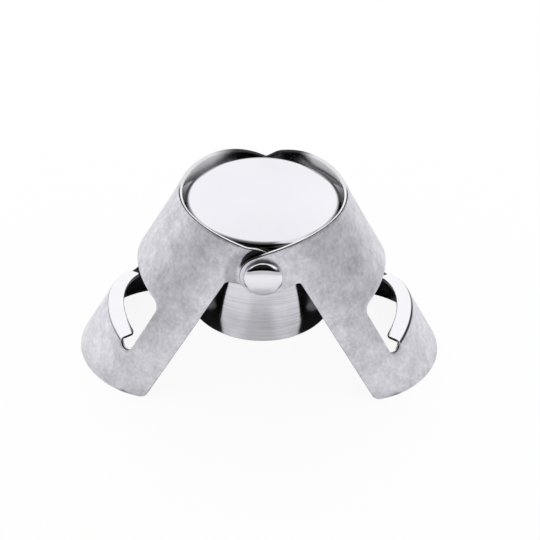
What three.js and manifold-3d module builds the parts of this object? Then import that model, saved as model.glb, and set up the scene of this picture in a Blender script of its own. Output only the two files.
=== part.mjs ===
// Sparkling wine stopper: a sprung sealing cap with two riveted wings that hook under a bottle's ring.
// Millimetres, +Z up, +X across the wings, origin on the table under the cap's middle.
// The wings are shown open, as the stopper stands on their rims.

import * as THREE from 'three';
import { mergeVertices } from 'three/addons/utils/BufferGeometryUtils.js';
import Module from 'manifold-3d';

const wasm = await Module();
wasm.setup();

const { degToRad } = THREE.MathUtils;
const quarterTurn = Math.PI / 2;
const fullTurn = 2 * Math.PI;

// Clearances between pieces
const seatGap = 0.3;
const lidGap = 0.25;
const earGap = 0.35;
const shankGap = 0.1;
const cutOverrun = 2;

// Cap: a drawn cup, open below, under a wider lid with a rolled edge
const cupRadius = 16.7;
const cupSheet = 0.8;
const cupBore = cupRadius - cupSheet;
const lidOverhang = 1.3;
const lidRadius = cupRadius + lidOverhang;
const lidSheet = 1;
const lidEdgeRadius = 1.2;
const lidAbovePivot = 6.9;
const cupBelowPivot = 21.3;
const cupCrownRadius = 2;
const cupLipRadius = 0.35;

// Wings: two like half shells of sheet metal
const wingSheet = 0.9;
const crestGap = 2.2;
const wingReach = lidRadius + crestGap + wingSheet;
const wingOpening = degToRad(27.2);
const rimBelowPivot = 35.1;
const flareStart = 6;
const flareAngle = degToRad(1.47);
const shoulderTurn = degToRad(45);
const earFlat = 3.2;
const earRadius = 5.2;
const crestBelowPivot = 0.7;
const recessRadius = 5.9;
const recessRamp = 2.6;
const legInsetAtEar = 6.5;
const legInsetAtRim = 7.5;
const legCrookRadius = 0.7;
const legCornerRadius = 1.4;
const rimTrim = 2;

// Window in each wing, and the tongue that is folded in from its lower edge
const windowInset = 16.1;
const windowTop = 21.3;
const windowCornerRadius = 2.2;
const reliefWidth = 3.7;
const reliefBottom = 36.9;
const foldStart = 36.5;
const foldRadius = 1.3;
const foldTurn = degToRad(63);
const tongueLength = 4.1;
const tongueCornerRadius = 0.9;

// Rivets and the spacers on them
const shankRadius = 1.5;
const headRadius = 4.3;
const headHeight = 1.9;
const headRimHeight = 0.7;
const tailRadius = 2;
const tailHeight = 0.9;
const spacerWall = 1.1;
const spacerRadius = shankRadius + spacerWall;

// Spring between the carrier's floor and the cup's ceiling
const springShare = 0.5;
const springRadius = cupBore * springShare;
const springWire = 1.2;
const springTurns = 5.5;
const springEndTurns = 1;
const springEndGap = 0.5;

// Seal: a carrier with a flange that rests on the rivets' inner ends, a gasket under it and a button
const flangeGap = 0.3;
const flangeInset = 0.6;
const flangeThickness = 0.8;
const springRoom = 0.75;
const carrierWall = 1.7;
const carrierRadius = springRadius + springWire / 2 + springRoom + carrierWall;
const carrierFloor = 2;
const gasketInset = 0.8;
const gasketRadius = cupBore - gasketInset;
const backingInset = 0.5;
const backingRadius = gasketRadius - backingInset;
const backingThickness = 1.4;
const gasketThickness = 2.9;
const gasketRibHeight = 0.5;
const gasketRibWidth = 1.1;
const gasketRibInset = 1.5;
const gasketWell = 0.8;
const sealRecess = 1.6;
const buttonHeadRadius = 4.6;
const buttonHeadHeight = 1.2;
const buttonStemRadius = 2;
const buttonBarbRadius = 2.6;
const buttonBarbHeight = 0.9;

// Fineness of the facets
const sheetFacet = 2.1;
const cornerFacet = 1.05;
const boreFacet = 0.5;
const ringFacet = 0.8;
const ringRoomShare = 0.45;
const foldRoomShare = 0.6;
const fieldRoomShare = 0.62;
const roundSteps = 48;
const smallRoundSteps = 24;
const filletSteps = 2;
const domeSteps = 6;
const cornerSteps = 5;
const foldSteps = 3;
const springSteps = 10;
const wireSides = 6;
const hair = 1e-5;

// Places that follow from the sizes above, measured from the pivot
const lidBottom = spacerRadius + seatGap;
const cupTop = lidAbovePivot - lidSheet - seatGap;
const ceiling = cupTop - cupSheet;
const innerEarInside = lidRadius + lidGap;
const recessDepth = wingSheet + earGap;
const wingHalfWidth = innerEarInside + recessDepth + wingSheet;
const gasketBottom = sealRecess - cupBelowPivot;
const carrierBottom = gasketBottom + gasketThickness + seatGap;
const flangeBottom = tailRadius + flangeGap;
const flangeTop = flangeBottom + flangeThickness;

// Section of a wing seen from above: flat ears, then shoulders and a wider bow, all tangent
const bowDepth = wingReach - earFlat;
const radiusStep = (wingHalfWidth - bowDepth) / (Math.sin(shoulderTurn) + Math.cos(shoulderTurn) - 1);
const shoulderRadius = wingHalfWidth - radiusStep * Math.sin(shoulderTurn);
const bowRadius = shoulderRadius + radiusStep;
const shoulderLength = shoulderRadius * shoulderTurn;
const bowLength = bowRadius * (quarterTurn - shoulderTurn);
const halfGirth = earFlat + shoulderLength + bowLength;
const girth = halfGirth * 2;

// Steel, plastic and silicone
const satinSteel = { color: 0xc4c6c9, roughness: 0.34, metalness: 1 };
const polishedSteel = { color: 0xdfe1e4, roughness: 0.12, metalness: 1 };
const springSteel = { color: 0xa9acb0, roughness: 0.3, metalness: 1 };
const whitePlastic = { color: 0xe8e8e4, roughness: 0.45, metalness: 0 };
const paleSilicone = { color: 0xf0efe9, roughness: 0.6, metalness: 0 };

// Merge shared corners, drop the flat triangles at poles and turn the faces outwards
function closedBody(geometry) {
  const bare = geometry.index ? geometry.toNonIndexed() : geometry.clone();
  bare.deleteAttribute('normal');
  bare.deleteAttribute('uv');
  const merged = mergeVertices(bare);
  const spot = merged.attributes.position;
  const kept = [];
  const [a, b, c] = [new THREE.Vector3(), new THREE.Vector3(), new THREE.Vector3()];
  let volume = 0;
  for (let i = 0; i < merged.index.count; i += 3) {
    const corners = [0, 1, 2].map((step) => merged.index.getX(i + step));
    if (new Set(corners).size < 3) continue;
    a.fromBufferAttribute(spot, corners[0]);
    b.fromBufferAttribute(spot, corners[1]);
    c.fromBufferAttribute(spot, corners[2]);
    volume += a.dot(b.cross(c));
    kept.push(corners);
  }
  if (volume < 0) kept.forEach((corners) => corners.reverse());
  merged.setIndex(kept.flat());
  merged.computeVertexNormals();
  return merged;
}

// Take one closed body away from another
function cut(geometry, tool) {
  const solid = ({ attributes, index }) => new wasm.Manifold(new wasm.Mesh({
    numProp: 3,
    vertProperties: Float32Array.from(attributes.position.array),
    triVerts: Uint32Array.from(index.array),
  }));
  const mesh = solid(geometry).subtract(solid(tool)).getMesh();
  const result = new THREE.BufferGeometry();
  result.setAttribute('position', new THREE.BufferAttribute(mesh.vertProperties, mesh.numProp));
  result.setIndex(Array.from(mesh.triVerts));
  return closedBody(result);
}

// Revolve a profile of radius and height about Z
function revolve(path, steps = roundSteps, curveSteps = filletSteps) {
  const lathe = new THREE.LatheGeometry(path.getPoints(curveSteps), steps);
  lathe.rotateX(quarterTurn);
  return closedBody(lathe);
}

// The same about Y, for pieces on the rivets' axis; height runs outwards from the cap's middle
function revolveOnRivetAxis(path) {
  const lathe = new THREE.LatheGeometry(path.getPoints(domeSteps), smallRoundSteps);
  lathe.rotateX(Math.PI);
  return closedBody(lathe);
}

function profile(...corners) {
  const path = new THREE.Path();
  path.moveTo(...corners[0]);
  corners.slice(1).forEach((corner) => path.lineTo(...corner));
  path.lineTo(...corners[0]);
  return path;
}

// Lid: a flat polished disc with a rolled edge and a short skirt over the cup
function lidGeometry() {
  const inner = lidRadius - lidSheet;
  const underside = lidAbovePivot - lidSheet;
  const path = new THREE.Path();
  path.moveTo(0, underside);
  path.lineTo(inner, underside);
  path.lineTo(inner, lidBottom);
  path.lineTo(lidRadius, lidBottom);
  path.lineTo(lidRadius, lidAbovePivot - lidEdgeRadius);
  path.absarc(lidRadius - lidEdgeRadius, lidAbovePivot - lidEdgeRadius, lidEdgeRadius, 0, quarterTurn);
  path.lineTo(0, lidAbovePivot);
  return revolve(path);
}

// Hole across the cup for both rivets
function rivetBore() {
  const drill = new THREE.CylinderGeometry(
    shankRadius + shankGap,
    shankRadius + shankGap,
    (cupRadius + cutOverrun) * 2,
    smallRoundSteps,
  );
  return closedBody(drill);
}

// Cup: drawn from sheet, round at its crown, open below with a rounded lip
function cupGeometry() {
  const lip = cupLipRadius;
  const crown = cupCrownRadius - cupSheet;
  const path = new THREE.Path();
  path.moveTo(0, ceiling);
  path.lineTo(cupBore - crown, ceiling);
  path.absarc(cupBore - crown, ceiling - crown, crown, quarterTurn, 0, true);
  path.lineTo(cupBore, lip - cupBelowPivot);
  path.absarc(cupBore + lip, lip - cupBelowPivot, lip, Math.PI, Math.PI + quarterTurn);
  path.absarc(cupRadius - lip, lip - cupBelowPivot, lip, -quarterTurn, 0);
  path.absarc(cupRadius - cupCrownRadius, cupTop - cupCrownRadius, cupCrownRadius, 0, quarterTurn);
  path.lineTo(0, cupTop);
  return cut(revolve(path), rivetBore());
}

// Rivet: a low domed head outside, a shank through ears, spacer and cup, and a clenched end inside
function rivetGeometry() {
  const tailOuter = cupBore - seatGap;
  const tailInner = tailOuter - tailHeight;
  const headBase = wingHalfWidth + seatGap;
  const headRim = headBase + headRimHeight;
  const headTop = headBase + headHeight;
  const path = new THREE.Path();
  path.moveTo(0, tailInner);
  path.lineTo(tailRadius, tailInner);
  path.lineTo(tailRadius, tailOuter);
  path.lineTo(shankRadius, tailOuter);
  path.lineTo(shankRadius, headBase);
  path.lineTo(headRadius, headBase);
  path.lineTo(headRadius, headRim);
  path.quadraticCurveTo(headRadius, headTop, 0, headTop);
  return revolveOnRivetAxis(path);
}

// Spacer: a ring on the shank that holds the inner ear off the round cup
function spacerGeometry() {
  const bore = shankRadius + shankGap;
  const inside = cupRadius + seatGap;
  const outside = innerEarInside - seatGap;
  return revolveOnRivetAxis(profile([bore, inside], [spacerRadius, inside], [spacerRadius, outside], [bore, outside]));
}

// Seal carrier: a cup for the spring, with a flange over the rivets' ends and a backing for the gasket
function carrierGeometry() {
  const bore = carrierRadius - carrierWall;
  const stemHole = buttonStemRadius + shankGap;
  const floor = carrierBottom + carrierFloor;
  const backing = carrierBottom + backingThickness;
  return revolve(profile(
    [stemHole, carrierBottom],
    [backingRadius, carrierBottom],
    [backingRadius, backing],
    [carrierRadius, backing],
    [carrierRadius, flangeBottom],
    [cupBore - flangeInset, flangeBottom],
    [cupBore - flangeInset, flangeTop],
    [bore, flangeTop],
    [bore, floor],
    [stemHole, floor],
  ));
}

// Gasket: a soft disc with two raised sealing rings below and a well for the button
function gasketGeometry() {
  const top = gasketBottom + gasketThickness;
  const well = gasketBottom + gasketWell;
  const rib = gasketBottom - gasketRibHeight;
  const outerRib = gasketRadius - gasketRibInset;
  const innerRib = outerRib - gasketRibInset - gasketRibWidth;
  const hole = buttonStemRadius + shankGap;
  const wellRadius = buttonHeadRadius + seatGap;
  const ribPoints = [innerRib, outerRib].flatMap((middle) => [
    [middle - gasketRibWidth, gasketBottom],
    [middle - gasketRibWidth / 2, rib],
    [middle, rib],
    [middle + gasketRibWidth / 2, gasketBottom],
  ]);
  return revolve(profile([hole, top], [hole, well], [wellRadius, well], [wellRadius, gasketBottom],
    ...ribPoints, [gasketRadius, gasketBottom], [gasketRadius, top]));
}

// Button: its domed head holds the gasket up, and its barb snaps over the carrier's floor
function buttonGeometry() {
  const seat = gasketBottom + gasketWell - seatGap;
  const bottom = seat - buttonHeadHeight;
  const barb = carrierBottom + carrierFloor + seatGap;
  const path = new THREE.Path();
  path.moveTo(0, bottom);
  path.quadraticCurveTo(buttonHeadRadius, bottom, buttonHeadRadius, seat);
  path.lineTo(buttonStemRadius, seat);
  path.lineTo(buttonStemRadius, barb);
  path.lineTo(buttonBarbRadius, barb);
  path.lineTo(buttonStemRadius, barb + buttonBarbHeight);
  path.lineTo(0, barb + buttonBarbHeight);
  return revolve(path, smallRoundSteps, domeSteps);
}

// Spring: a helix whose end turns lie closer than the rest
class SpringCurve extends THREE.Curve {
  constructor(bottom, top) {
    super();
    this.bottom = bottom;
    const endRise = (springWire + springEndGap) * springEndTurns;
    const freeRise = top - bottom - endRise * 2;
    this.knots = [0, endRise, endRise + freeRise, top - bottom];
    this.turns = [0, springEndTurns, springTurns - springEndTurns, springTurns];
  }

  getPoint(share, target = new THREE.Vector3()) {
    const turn = share * springTurns;
    const leg = turn < this.turns[1] ? 0 : turn < this.turns[2] ? 1 : 2;
    const along = (turn - this.turns[leg]) / (this.turns[leg + 1] - this.turns[leg]);
    const rise = THREE.MathUtils.lerp(this.knots[leg], this.knots[leg + 1], along);
    const angle = turn * fullTurn;
    return target.set(springRadius * Math.cos(angle), springRadius * Math.sin(angle), this.bottom + rise);
  }
}

function springGeometry() {
  const seatOffset = seatGap + springWire / 2;
  const curve = new SpringCurve(carrierBottom + carrierFloor + seatOffset, ceiling - seatOffset);
  const wire = new THREE.Shape();
  wire.absarc(0, 0, springWire / 2, 0, fullTurn);
  const tube = new THREE.ExtrudeGeometry(wire, {
    extrudePath: curve,
    steps: Math.round(springTurns * springSteps),
    curveSegments: wireSides / 2,
    bevelEnabled: false,
  });
  console.log(`spring: ${(springWire + springEndGap).toFixed(2)} mm least pitch, ${springEndGap} mm least gap`);
  return closedBody(tube);
}

// Place and outward direction on a wing's outside, `along` millimetres from the front rivet.
// Outwards is away from the cap's middle and towards the bow; across runs from front to back.
function sectionAt(along) {
  const near = Math.min(along, girth - along);
  const side = along > halfGirth ? 1 : -1;
  const shoulder = THREE.MathUtils.clamp((near - earFlat) / shoulderRadius, 0, shoulderTurn);
  const bow = THREE.MathUtils.clamp((near - earFlat - shoulderLength) / bowRadius, 0, quarterTurn - shoulderTurn);
  const turn = shoulder + bow;
  const onBow = bow > 0;
  const radius = onBow ? bowRadius : shoulderRadius;
  const step = onBow ? radiusStep : 0;
  const centreOut = earFlat - step * Math.sin(shoulderTurn);
  const centreAcross = wingHalfWidth - shoulderRadius - step * Math.cos(shoulderTurn);
  const out = Math.min(near, earFlat) - earFlat + centreOut + radius * Math.sin(turn);
  const across = side * (centreAcross + radius * Math.cos(turn));
  return { out, across, normalOut: Math.sin(turn), normalAcross: side * Math.cos(turn) };
}

// How far the skirt leans out of the straight section at a height
function flareAt(height) {
  return Math.max(-height - flareStart, 0) * Math.tan(flareAngle);
}

// Height of the rim, which is trimmed to the table while the wing is open
function rimAt(along) {
  const { out, normalOut } = sectionAt(along);
  const lean = Math.tan(flareAngle) * normalOut;
  const level = -rimBelowPivot - Math.sin(wingOpening) * (out - lean * flareStart);
  return level / (Math.cos(wingOpening) - lean * Math.sin(wingOpening));
}

// Height of the upper edge, which sinks smoothly from the ears to the middle of the bow
function crestAt(along) {
  const share = (1 + Math.cos(fullTurn * along / girth)) / 2;
  return THREE.MathUtils.lerp(-crestBelowPivot, earRadius, share);
}

// Round the front rivet the inner ear is set back by one sheet, with a sloping wall round it
function recessAt(along, height) {
  const wall = (Math.hypot(along, height) - recessRadius) / recessRamp;
  return recessDepth * (1 - THREE.MathUtils.smoothstep(wall, 0, 1));
}

// Where a point of the flat blank ends up: `depth` is how far it lies under the outer face
function formed(along, height, depth) {
  const { out, across, normalOut, normalAcross } = sectionAt(along);
  const besideNotch = Math.abs(along - halfGirth) < halfGirth - windowInset - reliefWidth / 2;
  const inTongue = besideNotch && height > -foldStart && height < -windowTop - windowCornerRadius;
  const reach = inTongue ? height + foldStart : 0;
  const turn = Math.min(reach / foldRadius, foldTurn);
  const straight = reach - turn * foldRadius;
  const base = reach > 0 ? -foldStart : height;
  const inward = foldRadius * (1 - Math.cos(turn)) + straight * Math.sin(turn);
  const rise = foldRadius * Math.sin(turn) + straight * Math.cos(turn);
  const trimmed = 1 - THREE.MathUtils.clamp((base - rimAt(along)) / rimTrim, 0, 1);
  const shift = flareAt(base) - recessAt(along, height) - inward - depth * Math.cos(turn);
  const trim = trimmed * depth * normalOut * Math.tan(wingOpening);
  const up = base + rise - depth * Math.sin(turn) + trim;
  return new THREE.Vector3(-(out + normalOut * shift), across + normalAcross * shift, up);
}

// Points along a straight stretch, a round stretch or a formula; the last point belongs to what follows
function straight(from, to, facet = sheetFacet) {
  const count = Math.max(1, Math.ceil(from.distanceTo(to) / facet));
  return Array.from({ length: count }, (_, i) => from.clone().lerp(to, i / count));
}

function round(centre, radius, start, end, facet = cornerFacet) {
  const count = Math.max(cornerSteps, Math.ceil(Math.abs(end - start) * radius / facet));
  return Array.from({ length: count }, (_, i) => {
    const angle = start + (end - start) * i / count;
    return new THREE.Vector2(centre.x + radius * Math.cos(angle), centre.y + radius * Math.sin(angle));
  });
}

function curved(height, start, end) {
  const count = Math.ceil(Math.abs(end - start) / sheetFacet);
  return Array.from({ length: count }, (_, i) => {
    const along = start + (end - start) * i / count;
    return new THREE.Vector2(along, height(along));
  });
}

const spot = (along, height) => new THREE.Vector2(along, height);

function mirrored(points) {
  return points.map(({ x, y }) => spot(girth - x, y)).reverse();
}

// Front half of the wing's outer edge: the ear's round end, its crook and the leg down to the rim
function legEdge() {
  const crook = spot(legInsetAtEar - legCrookRadius, -earRadius - legCrookRadius);
  const legTop = spot(legInsetAtEar, crook.y);
  const corner = spot(legInsetAtRim, rimAt(legInsetAtRim));
  const legEnd = corner.clone().lerp(legTop, legCornerRadius / corner.distanceTo(legTop));
  const rimStart = spot(corner.x + legCornerRadius, rimAt(corner.x + legCornerRadius));
  const bend = new THREE.QuadraticBezierCurve(legEnd, corner, rimStart);
  return [
    ...round(spot(0, 0), earRadius, quarterTurn, quarterTurn + Math.PI),
    ...straight(spot(0, -earRadius), spot(crook.x, -earRadius)),
    ...round(crook, legCrookRadius, quarterTurn, 0),
    ...straight(legTop, legEnd),
    ...bend.getPoints(cornerSteps),
  ];
}

function outerEdge() {
  const front = legEdge();
  const rimStart = front[front.length - 1].x;
  return [
    ...front,
    ...curved(rimAt, rimStart, girth - rimStart).slice(1),
    ...mirrored(front),
    ...curved(crestAt, girth, 0).slice(1),
  ];
}

// Heights where the fold of the tongue gets a row of points
function foldRows() {
  const rise = foldRadius * foldTurn / foldSteps;
  return Array.from({ length: foldSteps + 1 }, (_, i) => i * rise - foldStart);
}

// Front half of the window's edge: upper corner, side, relief notch and the tongue's end
function windowEdgeFront() {
  const corner = spot(windowInset + windowCornerRadius, -windowTop - windowCornerRadius);
  const relief = spot(windowInset + reliefWidth / 2, reliefWidth / 2 - reliefBottom);
  const tongueEnd = windowInset + reliefWidth;
  const tongueTop = tongueLength - foldStart;
  const tip = spot(tongueEnd + tongueCornerRadius, tongueTop - tongueCornerRadius);
  return [
    ...round(corner, windowCornerRadius, quarterTurn, Math.PI),
    ...straight(spot(windowInset, corner.y), spot(windowInset, relief.y)),
    ...round(relief, reliefWidth / 2, Math.PI, fullTurn),
    ...foldRows().filter((height) => height > relief.y).map((height) => spot(tongueEnd, height)),
    ...round(tip, tongueCornerRadius, Math.PI, quarterTurn),
  ];
}

function windowEdge() {
  const front = windowEdgeFront();
  const tongueTop = tongueLength - foldStart;
  const tongueSide = windowInset + reliefWidth + tongueCornerRadius;
  const roof = windowInset + windowCornerRadius;
  return [
    ...front,
    ...straight(spot(tongueSide, tongueTop), spot(girth - tongueSide, tongueTop)),
    spot(girth - tongueSide, tongueTop),
    ...mirrored(front),
    ...straight(spot(girth - roof, -windowTop), spot(roof, -windowTop)).slice(1),
  ];
}

function isInside(point, loop) {
  let inside = false;
  loop.forEach((a, i) => {
    const b = loop[(i + 1) % loop.length];
    const crosses = (a.y > point.y) !== (b.y > point.y);
    if (crosses && point.x < a.x + (b.x - a.x) * (point.y - a.y) / (b.y - a.y)) inside = !inside;
  });
  return inside;
}

// Points inside the blank: rings round the recess, rows along the fold, then an even field
function innerPoints(outline, holes) {
  const taken = [outline, ...holes].flat();
  const add = (candidates, room) => candidates
    .filter((point) => isInside(point, outline) && !holes.some((hole) => isInside(point, hole)))
    .filter((point) => taken.every((other) => other.distanceTo(point) > room))
    .forEach((point) => taken.push(point));
  const ringRoom = recessRamp * ringRoomShare;
  [recessRadius, recessRadius + recessRamp / 2, recessRadius + recessRamp].forEach((radius) => {
    add(round(spot(0, 0), radius, -quarterTurn, quarterTurn, ringFacet), ringRoom);
  });
  const columns = curved(() => 0, windowInset + reliefWidth, girth - windowInset - reliefWidth);
  const rowRoom = foldRadius * foldTurn / foldSteps * foldRoomShare;
  foldRows().forEach((height) => add(columns.map(({ x }) => spot(x, height)), rowRoom));
  const rows = curved(() => 0, rimAt(halfGirth), earRadius);
  rows.forEach((row, i) => {
    const offset = i % 2 * sheetFacet / 2;
    add(curved(() => row.x, offset, girth), sheetFacet * fieldRoomShare);
  });
  return taken.slice(outline.length + holes.flat().length);
}

// Split the triangles at every point that none of them uses yet, inside them or on their sides
function splitAt(points, triangles) {
  const area = (a, b, c) => b.clone().sub(a).cross(c.clone().sub(a)) / 2;
  const least = hair * hair;
  const used = new Set(triangles.flat());
  return points.reduce((current, point, index) => {
    if (used.has(index)) return current;
    return current.flatMap((corners) => {
      const parts = corners.map((a, k) => [a, corners[(k + 1) % corners.length], index]);
      const areas = parts.map(([a, b]) => area(points[a], points[b], point));
      if (areas.some((value) => value < -least)) return [corners];
      return parts.filter((_, k) => areas[k] > least);
    });
  }, triangles);
}

// Swap the shared side of two triangles wherever that makes them less pointed
function evenOut(points, triangles) {
  const angle = (tip, a, b) => {
    const toA = points[a].clone().sub(points[tip]);
    const toB = points[b].clone().sub(points[tip]);
    return Math.abs(Math.atan2(toA.cross(toB), toA.dot(toB)));
  };
  const limit = Math.PI + hair;
  for (let swapped = true; swapped;) {
    swapped = false;
    const sides = new Map();
    triangles.forEach((corners, index) => corners.forEach((a, k) => {
      const b = corners[(k + 1) % 3];
      const key = a < b ? `${a}_${b}` : `${b}_${a}`;
      if (!sides.has(key)) sides.set(key, []);
      sides.get(key).push({ index, a, b, tip: corners[(k + 2) % 3] });
    }));
    const touched = new Set();
    for (const pair of sides.values()) {
      if (pair.length < 2 || pair.some(({ index }) => touched.has(index))) continue;
      const [one, two] = pair;
      if (angle(one.tip, one.a, one.b) + angle(two.tip, one.a, one.b) <= limit) continue;
      triangles[one.index] = [one.tip, one.a, two.tip];
      triangles[two.index] = [two.tip, one.b, one.tip];
      touched.add(one.index).add(two.index);
      swapped = true;
    }
  }
  return triangles;
}

// A closed sheet from a flat blank: outer face, inner face and the cut edges between them
function formedSheet(outline, holes, place) {
  const fill = innerPoints(outline, holes);
  const points = [outline, ...holes, fill].flat();
  const rough = THREE.ShapeUtils.triangulateShape([...outline], holes.map((hole) => [...hole]));
  const triangles = evenOut(points, splitAt(points, rough));
  const outside = points.map(({ x, y }) => place(x, y, 0));
  const inside = points.map(({ x, y }) => place(x, y, wingSheet));
  const faces = [];
  const sides = new Set(triangles.flatMap(([a, b, c]) => [`${a}_${b}`, `${b}_${c}`, `${c}_${a}`]));
  triangles.forEach(([a, b, c]) => {
    faces.push(outside[a], outside[b], outside[c], inside[c], inside[b], inside[a]);
    [[a, b], [b, c], [c, a]].filter(([from, to]) => !sides.has(`${to}_${from}`)).forEach(([from, to]) => {
      faces.push(outside[to], outside[from], inside[from], outside[to], inside[from], inside[to]);
    });
  });
  return closedBody(new THREE.BufferGeometry().setFromPoints(faces));
}

// One wing, closed, on the left: the ear at the front is the recessed one
function wingGeometry() {
  const hole = (along) => round(spot(along, 0), shankRadius + shankGap, 0, fullTurn, boreFacet);
  return formedSheet(outerEdge(), [windowEdge(), hole(0), hole(girth)], formed);
}

function part(name, geometry, finish) {
  const mesh = new THREE.Mesh(geometry, new THREE.MeshStandardMaterial(finish));
  mesh.name = name;
  return mesh;
}

function turned(angle, ...children) {
  const group = new THREE.Group();
  group.rotation.z = angle;
  group.add(...children);
  return group;
}

function openWing(name) {
  const wing = part(name, wingGeometry(), satinSteel);
  wing.rotation.y = wingOpening;
  return wing;
}

function buildStopper() {
  const cap = new THREE.Group();
  cap.position.z = rimBelowPivot;
  cap.add(
    part('lid', lidGeometry(), polishedSteel),
    part('cap_cup', cupGeometry(), satinSteel),
    part('front_rivet', rivetGeometry(), polishedSteel),
    part('front_spacer', spacerGeometry(), whitePlastic),
    turned(
      Math.PI,
      part('back_rivet', rivetGeometry(), polishedSteel),
      part('back_spacer', spacerGeometry(), whitePlastic),
      openWing('right_wing'),
    ),
    openWing('left_wing'),
    part('seal_carrier', carrierGeometry(), whitePlastic),
    part('gasket', gasketGeometry(), paleSilicone),
    part('gasket_button', buttonGeometry(), whitePlastic),
    part('spring', springGeometry(), springSteel),
  );
  const stopper = new THREE.Group();
  stopper.add(cap);
  return stopper;
}

export default buildStopper();
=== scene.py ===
# Champagne stopper, dressed piece by piece in the order in which it is put together.

import math

import bpy
import numpy as np
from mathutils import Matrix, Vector
from mathutils.geometry import delaunay_2d_cdt


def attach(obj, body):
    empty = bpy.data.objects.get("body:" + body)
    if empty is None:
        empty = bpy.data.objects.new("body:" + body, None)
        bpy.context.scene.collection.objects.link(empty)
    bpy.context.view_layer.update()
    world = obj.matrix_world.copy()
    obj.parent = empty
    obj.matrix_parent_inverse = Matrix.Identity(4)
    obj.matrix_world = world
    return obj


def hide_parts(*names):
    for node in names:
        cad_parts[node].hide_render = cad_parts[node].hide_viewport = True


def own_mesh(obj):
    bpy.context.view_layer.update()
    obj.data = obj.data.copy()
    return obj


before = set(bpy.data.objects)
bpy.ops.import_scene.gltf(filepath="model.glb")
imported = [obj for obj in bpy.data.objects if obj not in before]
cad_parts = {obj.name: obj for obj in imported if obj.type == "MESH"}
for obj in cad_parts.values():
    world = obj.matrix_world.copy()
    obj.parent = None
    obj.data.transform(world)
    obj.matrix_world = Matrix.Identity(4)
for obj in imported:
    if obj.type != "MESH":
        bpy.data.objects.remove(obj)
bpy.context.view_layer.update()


# Cap cup
# The cup is drawn from sheet steel and turned, so its side has fine lines round it.
# It is open below over the bottle's mouth, and the rivets hold it between the wings.

MM = 0.001
PIVOT = 35.1
CUP_RADIUS, CUP_SHEET = 16.7, 0.8
CUP_BORE = CUP_RADIUS - CUP_SHEET
CUP_MOUTH, CUP_TOP = PIVOT - 21.3, 40.7
CUP_CROWN = 2.0
CUP_LIP = 0.34
BORE_RADIUS = 1.6
BORE_BAND = 3.0
DRILL_REACH = 20.0
TURNED_COLOUR = (0.77, 0.761, 0.815)
TURNED_DARK, TURNED_LIGHT = 0.76, 1.18
TURNED_STRETCH = (45.0, 45.0, 4800.0)
TURNED_LINES, TURNED_CLOUDS, TURNED_START = 2.6, 0.9, 1.25
TURNED_ROUGHNESS, TURNED_RELIEF = (0.05, 0.1), 0.003


class Term:
    """A node's output; arithmetic on it adds Math nodes."""

    def __init__(self, nodes, socket):
        self.nodes = nodes
        self.socket = socket

    def math(self, operation, *values):
        node = self.nodes.add("ShaderNodeMath", {"operation": operation}, dict(enumerate(values)))
        return Term(self.nodes, node.outputs[0])

    def __add__(self, other):
        return self.math("ADD", self, other)

    def __radd__(self, other):
        return self.math("ADD", other, self)

    def __sub__(self, other):
        return self.math("SUBTRACT", self, other)

    def __rsub__(self, other):
        return self.math("SUBTRACT", other, self)

    def __mul__(self, other):
        return self.math("MULTIPLY", self, other)

    def __rmul__(self, other):
        return self.math("MULTIPLY", other, self)

    def __truediv__(self, other):
        return self.math("DIVIDE", self, other)

    def __rtruediv__(self, other):
        return self.math("DIVIDE", other, self)

    def __neg__(self):
        return self.math("MULTIPLY", self, -1.0)

    def __gt__(self, other):
        return self.math("GREATER_THAN", self, other)

    def __lt__(self, other):
        return self.math("LESS_THAN", self, other)


class Nodes:
    """A node tree that is filled one node at a time."""

    def __init__(self, tree):
        self.tree = tree
        tree.nodes.clear()

    def add(self, kind, settings=None, sockets=None):
        node = self.tree.nodes.new(kind)
        for name, value in (settings or {}).items():
            setattr(node, name, value)
        for name, value in (sockets or {}).items():
            socket = self.socket(node.inputs, name)
            if isinstance(value, Term):
                self.tree.links.new(value.socket, socket)
            else:
                socket.default_value = value
        return node

    def socket(self, sockets, name):
        if isinstance(name, int):
            return sockets[name]
        return next((s for s in sockets if s.identifier == name), None) or sockets[name]

    def term(self, kind, settings=None, sockets=None, output=0):
        return Term(self, self.socket(self.add(kind, settings, sockets).outputs, output))


def sine(angle):
    return angle.math("SINE", angle) if isinstance(angle, Term) else math.sin(angle)


def cosine(angle):
    return angle.math("COSINE", angle) if isinstance(angle, Term) else math.cos(angle)


def lowest(value, limit):
    return value.math("MINIMUM", value, limit) if isinstance(value, Term) else min(value, limit)


def highest(value, limit):
    return value.math("MAXIMUM", value, limit) if isinstance(value, Term) else max(value, limit)


def absolute(value):
    return value.math("ABSOLUTE", value)


def root(value):
    return value.math("SQRT", value)


def clamped(value, low, high):
    return lowest(highest(value, low), high)


def eased(value):
    share = clamped(value, 0.0, 1.0)
    return share * share * (3.0 - 2.0 * share)


def past(value, start, width):
    """Eases from 0 to 1 as the value passes `start`, over a width."""
    return eased((value - start) / width)


def rising(value, start, width):
    """Eases from 0 to 1 as a length passes `start`; start and width are in millimetres."""
    return past(value, start * MM, width * MM)


def falling(value, start, width):
    """Eases from 0 to 1 as a length drops below `start`; start and width are in millimetres."""
    return eased((start * MM - value) / (width * MM))


def between(limits, share):
    """The value at a share of the way from the first limit to the second."""
    low, high = limits
    return low + share * (high - low)


def parts(nodes, vector):
    """The x, y and z of a vector."""
    return [Term(nodes, socket) for socket in nodes.add("ShaderNodeSeparateXYZ", None, {0: vector}).outputs]


def own_place(nodes):
    """A point's place on its own piece, in metres."""
    return Term(nodes, nodes.add("ShaderNodeTexCoord").outputs["Object"])


def noise(nodes, vector, scale, detail=2.0, roughness=0.5):
    """Cloudy values round a half."""
    return nodes.term("ShaderNodeTexNoise", None, {
        "Vector": vector, "Scale": scale, "Detail": detail, "Roughness": roughness})


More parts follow.
